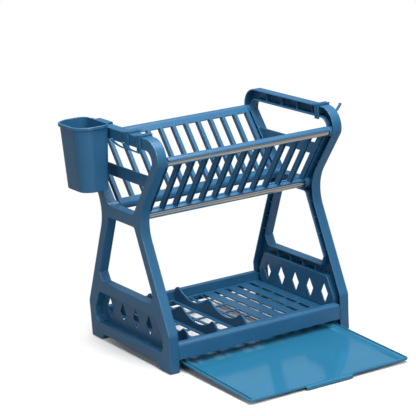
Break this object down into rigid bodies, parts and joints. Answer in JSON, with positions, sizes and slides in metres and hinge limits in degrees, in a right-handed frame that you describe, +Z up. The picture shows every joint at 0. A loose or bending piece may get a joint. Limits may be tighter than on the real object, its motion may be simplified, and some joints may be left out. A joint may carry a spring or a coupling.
{
  "type": "dish drying rack",
  "caption": "Two-tier dish drying rack: X-shaped moulded side frames, steel tubes, slatted plate panels, bowl rack, pull-out drip tray, hung cutlery cup and hooks.",
  "frame": {"origin": "centre of the four feet's footprint, on the table", "axes": "+X along the tubes to the right-hand frame, -Y to the front where the tray pulls out, +Z up"},
  "size_m": [0.4541, 0.4849, 0.4],
  "materials": {
    "frame_plastic": "satin moulded polypropylene",
    "tray_plastic": "glossy moulded polypropylene",
    "steel": "polished stainless tube",
    "rubber": "matte"
  },
  "bodies": {
    "stand": {"left_side_frame": "frame_plastic", "right_side_frame": "frame_plastic", "front_top_tube": "steel", "rear_top_tube": "steel", "front_lower_tube": "steel", "rear_lower_tube": "steel", "front_slat_panel": "frame_plastic", "rear_slat_panel": "frame_plastic", "bowl_rack": "frame_plastic", "front_base_rail": "frame_plastic", "rear_base_rail": "frame_plastic", "left_front_foot_pad": "rubber", "left_rear_foot_pad": "rubber", "right_front_foot_pad": "rubber", "right_rear_foot_pad": "rubber"},
    "tray": {"drip_tray": "tray_plastic"},
    "cup": {"utensil_cup": "frame_plastic"},
    "front_hook": {"left_front_hook": "frame_plastic"},
    "rear_hook": {"left_rear_hook": "frame_plastic"},
    "far_hook": {"right_hook": "frame_plastic"}
  },
  "joints": [
    {"name": "tray_slide", "type": "slide", "parent": "stand", "child": "tray", "axis": [0, -0.9993, -0.0366], "range_m": [-0.202, 0.02]},
    {"name": "cup_lift", "type": "slide", "parent": "stand", "child": "cup", "axis": [0, 0, 1], "range_m": [0, 0.04]},
    {"name": "front_hook_slide", "type": "slide", "parent": "stand", "child": "front_hook", "axis": [0, 1, 0], "range_m": [-0.012, 0.015]},
    {"name": "rear_hook_slide", "type": "slide", "parent": "stand", "child": "rear_hook", "axis": [0, 1, 0], "range_m": [-0.01, 0.043]},
    {"name": "far_hook_slide", "type": "slide", "parent": "stand", "child": "far_hook", "axis": [0, 1, 0], "range_m": [-0.005, 0.14]}
  ]
}
